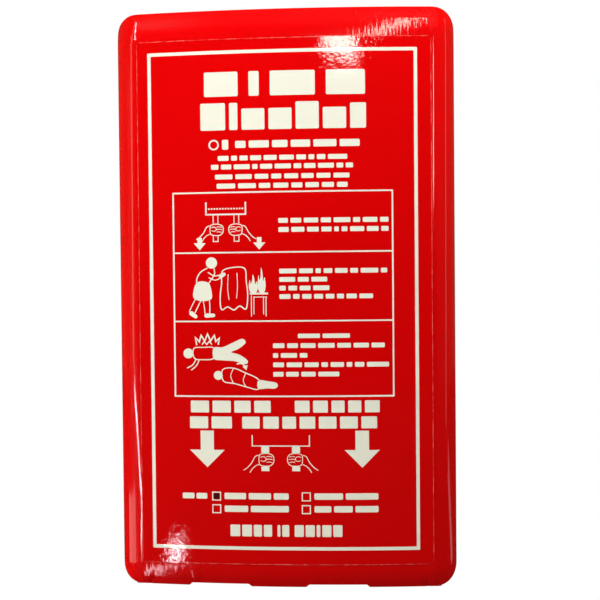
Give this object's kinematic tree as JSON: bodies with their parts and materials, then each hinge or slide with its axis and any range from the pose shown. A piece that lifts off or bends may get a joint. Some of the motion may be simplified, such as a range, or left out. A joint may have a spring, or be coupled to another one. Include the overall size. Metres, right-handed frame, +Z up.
{
  "type": "fire blanket in wall case",
  "caption": "Wall-hung moulded case, open underneath, holding a folded fire blanket with two pull tapes that draw it down and out.",
  "frame": {"origin": "centre of the back cover's wall face", "axes": "+Z up along the case's height, +Y into the wall, so the label faces -Y, and +X to the right of a person facing the label"},
  "size_m": [0.165, 0.0362, 0.277],
  "materials": {
    "case_red": "gloss moulded ABS",
    "label": "gloss printed vinyl",
    "glass_cloth": "woven glass cloth",
    "webbing": "woven tape",
    "thread": "sewing thread"
  },
  "bodies": {
    "case": {"front_cover": "case_red", "back_cover": "case_red", "front_label": "label"},
    "blanket": {"folded_blanket": "glass_cloth", "hem_stitching": "thread", "left_tape_stitching": "thread", "right_tape_stitching": "thread"},
    "left_tape": {"left_pull_tape": "webbing"},
    "right_tape": {"right_pull_tape": "webbing"}
  },
  "joints": [
    {"name": "blanket_release", "type": "slide", "parent": "case", "child": "blanket", "axis": [0, 0, -1], "range_m": [0, 0.26]},
    {"name": "left_tape_draw", "type": "slide", "parent": "blanket", "child": "left_tape", "axis": [0, 0, -1], "range_m": [0, 0.07]},
    {"name": "right_tape_draw", "type": "slide", "parent": "blanket", "child": "right_tape", "axis": [0, 0, -1], "range_m": [0, 0.07]}
  ]
}
